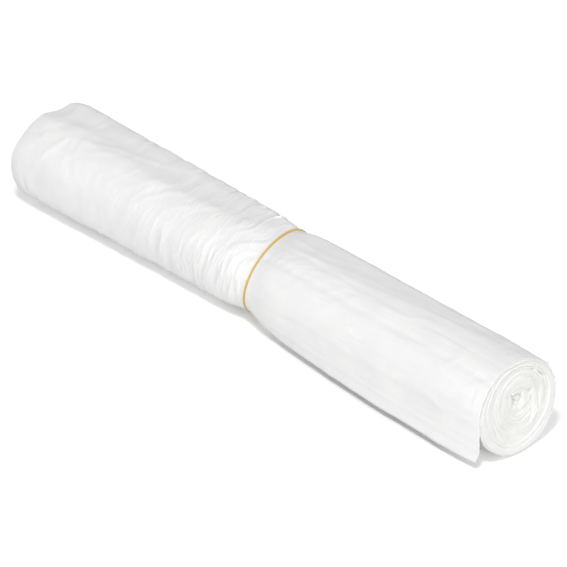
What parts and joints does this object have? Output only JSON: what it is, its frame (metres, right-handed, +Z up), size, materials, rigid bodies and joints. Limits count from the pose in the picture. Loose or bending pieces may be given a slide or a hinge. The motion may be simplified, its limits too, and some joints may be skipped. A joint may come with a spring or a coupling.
{
  "type": "bin bag roll",
  "caption": "Coreless roll of thin white film bin bags, waisted and slightly bent where a thin rubber band holds it, with its loose outer edge hanging on one side.",
  "frame": {"origin": "middle of the roll's length and width, on the surface that it lies on", "axes": "+X along the roll towards the near end with the loose corner, +Z up, the loose outer edge hangs on the -Y side"},
  "size_m": [0.3555, 0.0623, 0.0558],
  "materials": {
    "film": "thin white polyethylene film, satin to glossy, crinkled",
    "band": "natural amber rubber, smooth"
  },
  "bodies": {
    "root": {"bag_roll": "film", "rubber_band": "band"}
  },
  "joints": []
}
